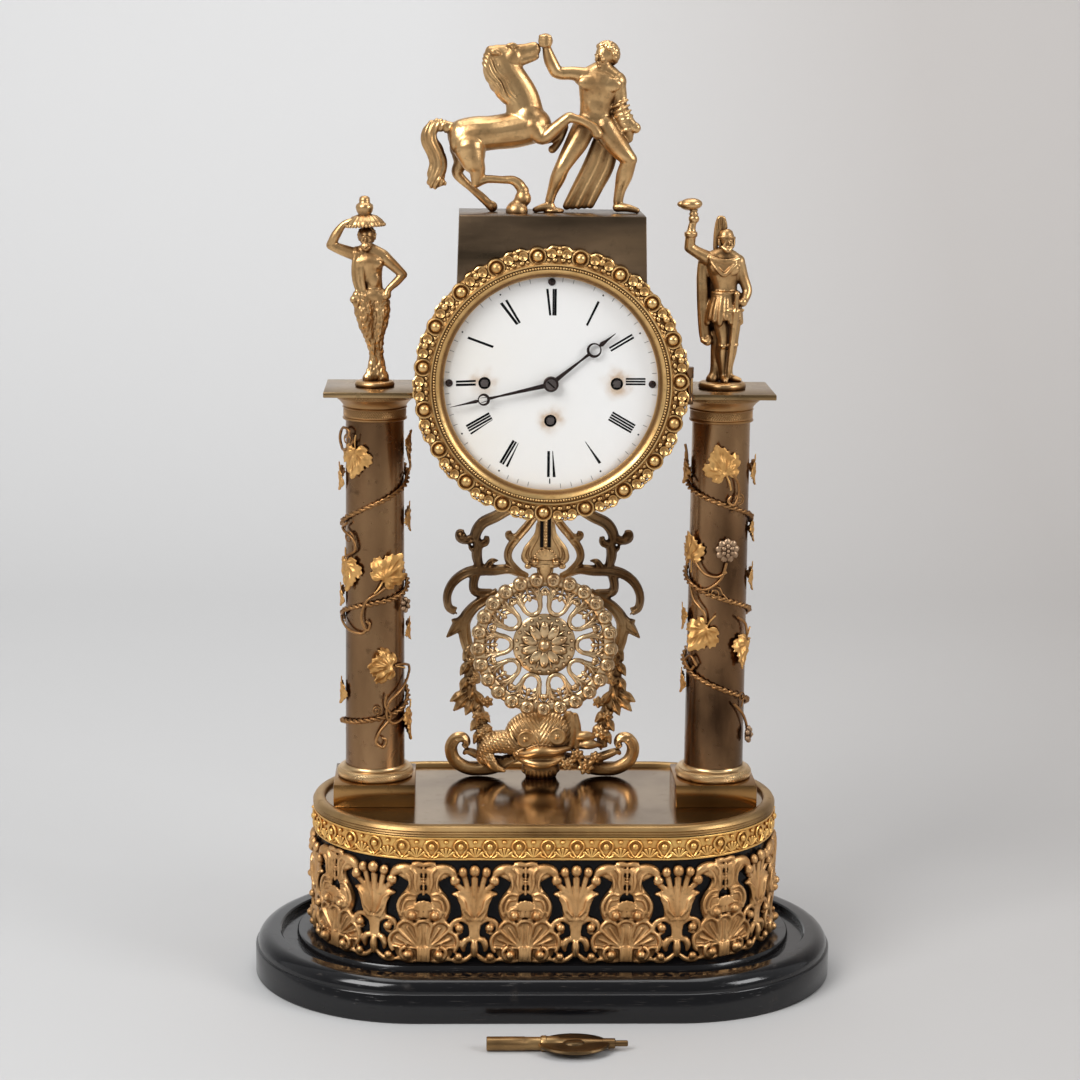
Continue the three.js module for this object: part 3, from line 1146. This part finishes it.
// Two bells on posts behind the back plate, each with its sprung hammer.
function addBells(holder) {
  const rim = BELL_CROWN_Y - BELL_DEPTH;
  const crown = BELL_CROWN_Y;
  for (const [label, side] of [["quarter", -1], ["hour", 1]]) {
    const x = side * BELL_OFFSET_X;
    const z = BELL_OFFSET_Z;
    piece(`${label}_bell`, BRASS, turnedY([
      [ARBOR_RADIUS + BORE_GAP, crown],
      [0.6 * BELL_RADIUS, crown - 1],
      [0.88 * BELL_RADIUS, crown - 0.45 * BELL_DEPTH],
      [BELL_RADIUS, rim],
      [BELL_RADIUS - BELL_WALL, rim],
      [0.88 * BELL_RADIUS - BELL_WALL, crown - 0.45 * BELL_DEPTH],
      [0.6 * BELL_RADIUS - BELL_WALL, crown - 1 - BELL_WALL],
      [ARBOR_RADIUS + BORE_GAP, crown - BELL_WALL],
      [ARBOR_RADIUS + BORE_GAP, crown],
    ], 16).translate(x, 0, z), holder);
    const pivotZ = z - BELL_RADIUS - 14;
    const stud = discY(ARBOR_RADIUS, BACK_PLATE_END_Y + SEAT_GAP, rim + 4, 10).translate(x, 0, pivotZ);
    const arm = limb([[x, rim + 2, pivotZ, 1.5], [x, rim + 2, z - BELL_RADIUS - 4.4, 1.5]], 6);
    const head = discZ(2.6, z - BELL_RADIUS - 5.4, z - BELL_RADIUS - 1, 10).translate(x, rim + 2, 0);
    piece(`${label}_hammer`, STEEL, fuse(stud, arm, head), holder);
  }
}

// Pendulum

function addPendulum() {
  const holder = new THREE.Group();
  holder.position.set(0, PENDULUM_Y, PIVOT_Z);
  clock.add(holder);
  const half = ROD_THICKNESS / 2;
  const bobTop = -PENDULUM_LENGTH + BOB_RADIUS;
  const lyreFoot = bobTop + 3;
  const lyreTop = lyreFoot + LYRE_HEIGHT;
  const spring = box(-2.5, 2.5, -SEAT_GAP, SEAT_GAP, -12, 4 - SEAT_GAP);
  const w = LYRE_WIDTH / 2;
  const arm = limb([
    [0.12 * w, 0, lyreFoot + 1, 2.6], [0.55 * w, 0, lyreFoot + 2, 2.4], [0.84 * w, 0, lyreFoot + 8, 2.6],
    [0.62 * w, 0, lyreFoot + 0.5 * LYRE_HEIGHT, 2.3], [0.4 * w, 0, lyreFoot + 0.8 * LYRE_HEIGHT, 1.8],
    [0.5 * w, 0, lyreTop, 1.6],
  ], 5, 0.7);
  const rod = box(-2, 2, -half, half, lyreFoot, -10);
  const yoke = box(-0.55 * w, 0.55 * w, -half, half, lyreTop - 2, lyreTop + 1);
  const hookEnd = bobTop - 4;
  const foot = box(-3, 3, -half, half, hookEnd, lyreFoot + 2);
  piece("pendulum_rod", GILT, fuse(spring, rod, yoke, foot, arm, mirrored(arm)), holder);

  const thick = BOB_THICKNESS / 2;
  const inner = BOB_RADIUS - BOB_RING_WIDTH;
  const ring = turnedY([
    [inner, -thick / 2], [inner + 2, -thick], [BOB_RADIUS - 2, -thick], [BOB_RADIUS, 0],
    [BOB_RADIUS - 2, thick], [inner, thick], [inner, -thick / 2],
  ], 30);
  const hub = turnedY(
    [[0, -thick - 1.4], [4, -thick - 0.6], [BOB_HUB_RADIUS, -thick], [BOB_HUB_RADIUS, thick], [0, thick]],
    16,
  );
  const spokes = [];
  for (let i = 0; i < BOB_SPOKES; i += 1) {
    const spoke = limb(
      [[0, 0, BOB_HUB_RADIUS - 2, 2], [2.4, 0, (BOB_HUB_RADIUS + inner) / 2, 1.6], [-1, 0, inner + 2, 2]],
      4, 0.7,
    );
    spokes.push(spoke.rotateY((2 * Math.PI * i) / BOB_SPOKES));
  }
  const bob = fuse(ring, hub, ...spokes).translate(0, 0, -PENDULUM_LENGTH);
  const seat = box(
    -3 - SEAT_GAP, 3 + SEAT_GAP, -half - SEAT_GAP, half + SEAT_GAP, hookEnd - SEAT_GAP, lyreFoot + 4,
  );
  piece("pendulum_bob", GILT, cut(bob, seat), holder);
}

// Openwork bracket that carries the case: scrolls and garlands each side of a dolphin's head

function addBracket() {
  const holder = new THREE.Group();
  holder.position.set(0, BRACKET_Y, FLOOR_Z);
  clock.add(holder);
  const rise = BRACKET_HEIGHT / 176; // the scrollwork was drawn for a bracket 176 high
  const line = (points, sides = 4, depth = 0.9) => limb(
    points.map(([x, z, r, y = 0]) => [x, y, z * rise, r]), sides, depth,
  );
  const right = [
    line([[20, 163, 3.2], [31, 157, 3.4], [40, 148, 3.2], [44, 140, 3], [50, 139, 2.4], [51, 143, 2]]),
    line([[42, 145, 2.6], [36, 138, 2.4], [40, 130, 2.6], [39, 122, 3]]),
    line([
      [4, 118, 4], [16, 122, 3.2], [30, 124, 3], [40, 122, 3.2], [50, 118, 2.8], [56, 108, 2.6],
      [55, 99, 2.4], [50, 97, 2],
    ]),
    line([[14, 122, 2.6], [22, 130, 2.4], [23, 138, 2.4], [17, 144, 2.4], [12, 150, 3]]),
    line([
      [40, 121, 2.8], [42, 112, 2.6], [36, 107, 2.6], [43, 98, 3.2], [46, 88, 3.4], [44, 74, 3.6],
      [42, 62, 5],
    ]),
    line([[45, 95, 3], [50, 86, 3], [55.5, 79, 1.4]]),
    line([[42, 66, 6], [40, 52, 6.4], [36, 40, 6], [33, 28, 5.4], [31, 16, 5], [28, 9, 4.6]], 5, 0.8),
    line([[43, 50, 2.4], [49, 46, 2.6], [54, 42, 1.2]]),
    line([[14, 22, 6], [24, 20, 6], [28, 12, 5]], 5, 0.8),
    line(
      [[28, 8, 5], [38, 5, 4.2], [48, 7, 4], [53, 14, 3.6], [51, 22, 3], [45, 24, 2.6], [42, 20, 2.2]], 5,
      0.9,
    ),
  ];
  const arch = Math.asin(40 / CASE_RADIUS);
  const saddle = [];
  for (let i = -4; i <= 4; i += 1) {
    const angle = (i / 4) * arch;
    const reach = CASE_RADIUS + SEAT_GAP + 2.3;
    saddle.push([reach * Math.sin(angle), 0, BRACKET_HEIGHT + CASE_RADIUS - reach * Math.cos(angle), 2]);
  }
  const head = [
    limb([[0, -4, 4, 8], [0, -3, 14, 12], [0, -2, 26, 16.5], [0, 0, 38, 17]], 7, 0.5),
    limb([[0, -7, 3.4, 6.6], [0, -7.6, 10, 10], [0, -6, 16, 9]], 6, 0.4),
    box(-8, 8, -4, 2, 0, 5),
    limb([[0, 0, 30, 8], [0, 0, 70, 6], [0, 0, 118, 5]].map(([x, y, z, r]) => [x, y, z * rise, r]), 7, 0.5),
    limb([[13, 0, 150 * rise, 3], [18, 0, 166 * rise, 3.4], [24, 0, 178 * rise, 2.4]], 5, 0.9),
    limb([[-13, 0, 150 * rise, 3], [-18, 0, 166 * rise, 3.4], [-24, 0, 178 * rise, 2.4]], 5, 0.9),
  ];
  const foot = box(22, 46, -3, 3, 0, 4);
  let frame = fuse(
    ...right, ...right.map(mirrored), limb(saddle, 6, BRACKET_THICKNESS / 4), ...head, foot, mirrored(foot),
  );
  frame = cut(
    frame, discY(CASE_RADIUS + SEAT_GAP, -20, 20, 36).translate(0, 0, BRACKET_HEIGHT + CASE_RADIUS),
    box(-80, 80, -30, 30, -20, 0),
  );
  piece("scroll_bracket", GILT, frame, holder);
}

// Winding key, lying on its side in front of the base

function addKey() {
  const holder = new THREE.Group();
  holder.position.set(KEY_X, KEY_Y, KEY_TUBE_RADIUS + 0.5);
  clock.add(holder);
  const along = (profile, steps) => turnedZ(profile, steps).rotateY(Math.PI / 2);
  const x0 = -KEY_LENGTH / 2;
  const collar = x0 + KEY_TUBE_LENGTH;
  const bowEnd = collar + 3 + KEY_BOW_LENGTH;
  const stem = along([
    [0, x0], [KEY_TUBE_RADIUS, x0], [KEY_TUBE_RADIUS, collar], [KEY_TUBE_RADIUS + 0.5, collar],
    [KEY_TUBE_RADIUS + 0.5, collar + 2],
    [KEY_TUBE_RADIUS, collar + 6], [2.4, bowEnd - 2], [2.4, bowEnd + 4], [1.5, bowEnd + 4.4],
    [1.5, x0 + KEY_LENGTH], [0, x0 + KEY_LENGTH],
  ], 12);
  const socketHalf = WINDING_SQUARE / 2 + SEAT_GAP;
  const socket = box(x0 - 1, x0 + KEY_SOCKET_DEPTH, -socketHalf, socketHalf, -socketHalf, socketHalf);
  const slit = box(
    collar + 4, bowEnd - 1, -20, 20, -KEY_BOW_THICKNESS / 2 - SEAT_GAP, KEY_BOW_THICKNESS / 2 + SEAT_GAP,
  );
  const rivetHole = discZ(1.2 + BORE_GAP, -8, 8, 8).translate((collar + bowEnd) / 2, 0, 0);
  piece("key_stem", BRASS, cut(stem, socket, slit.rotateX(KEY_LEAN), rivetHole), holder);
  const bowX = (collar + 4 + bowEnd - 1) / 2;
  const bow = discZ(1, -KEY_BOW_THICKNESS / 2, KEY_BOW_THICKNESS / 2, 24)
    .scale(KEY_BOW_LENGTH / 2 - 2.8, KEY_BOW_WIDTH / 2, 1);
  const rivet = discZ(1.2, -KEY_TUBE_RADIUS, KEY_TUBE_RADIUS, 8).translate((collar + bowEnd) / 2, 0, 0);
  piece("key_bow", BRASS, fuse(bow.translate(bowX, 0, 0).rotateX(KEY_LEAN), rivet), holder);
}

addBase();
addColumn(-1, "left");
addColumn(1, "right");
addFaun();
addSoldier();
addHorse();
addTamer();
addCase();
addBackCover();
addBezel();
addDial();
addMovement();
addPendulum();
addBracket();
addKey();

export default clock;
